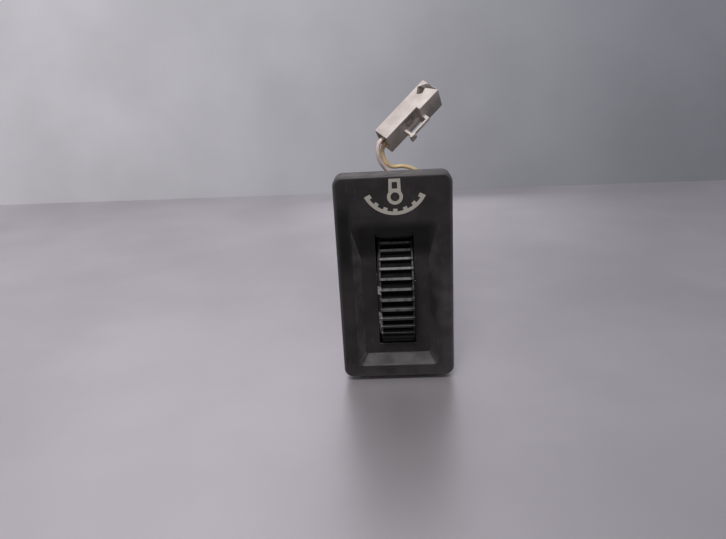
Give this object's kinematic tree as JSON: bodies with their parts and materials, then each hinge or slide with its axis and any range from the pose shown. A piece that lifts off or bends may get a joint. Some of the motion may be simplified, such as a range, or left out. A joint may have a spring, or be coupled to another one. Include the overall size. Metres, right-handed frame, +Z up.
{
  "type": "dash light dimmer switch",
  "caption": "Dash light dimmer: a dished black bezel with a ribbed thumbwheel turning a small rheostat, and a short two-wire lead with connector.",
  "frame": {"origin": "middle of the bezel's back, in the plane that seats on the dash panel", "axes": "+X right seen from the front, +Y into the dash, +Z up along the bezel's height"},
  "size_m": [0.0334, 0.0546, 0.0815],
  "materials": {
    "bezel_plastic": "fine satin grain, dusty and worn at the edges",
    "case_plastic": "plain moulded",
    "wheel_plastic": "satin, rib edges worn",
    "steel": "plain zinc plated",
    "spring_steel": "tempered, dull",
    "fibre": "pressed fibre",
    "brass": "plain",
    "ceramic": "unglazed",
    "resistance_wire": "drawn wire",
    "grommet_rubber": "matt",
    "white_insulation": "smooth vinyl",
    "yellow_insulation": "smooth vinyl",
    "connector_plastic": "smooth moulded",
    "retainer_plastic": "smooth moulded",
    "tinned_contact": "tinned"
  },
  "bodies": {
    "switch_body": {"bezel": "bezel_plastic", "case": "case_plastic", "rear_cover": "case_plastic", "wheel_axle": "steel", "wave_washer": "spring_steel", "thrust_washer": "fibre", "resistor_former": "ceramic", "resistance_winding": "resistance_wire", "winding_terminal": "brass", "collector_terminal": "brass", "former_rivets": "steel", "cover_screws": "steel", "retaining_clip_top": "spring_steel", "retaining_clip_bottom": "spring_steel", "wire_grommet": "grommet_rubber", "wire_white": "white_insulation", "wire_yellow": "yellow_insulation", "connector_housing": "connector_plastic", "connector_retainer": "retainer_plastic", "connector_tab_upper": "tinned_contact", "connector_tab_lower": "tinned_contact"},
    "wheel": {"thumbwheel": "wheel_plastic", "wiper": "brass"}
  },
  "joints": [
    {"name": "wheel_turn", "type": "hinge", "parent": "switch_body", "child": "wheel", "pos_m": [0, 0.0082, -0.0066], "axis": [1, 0, 0], "range_deg": [-100, 100]}
  ]
}
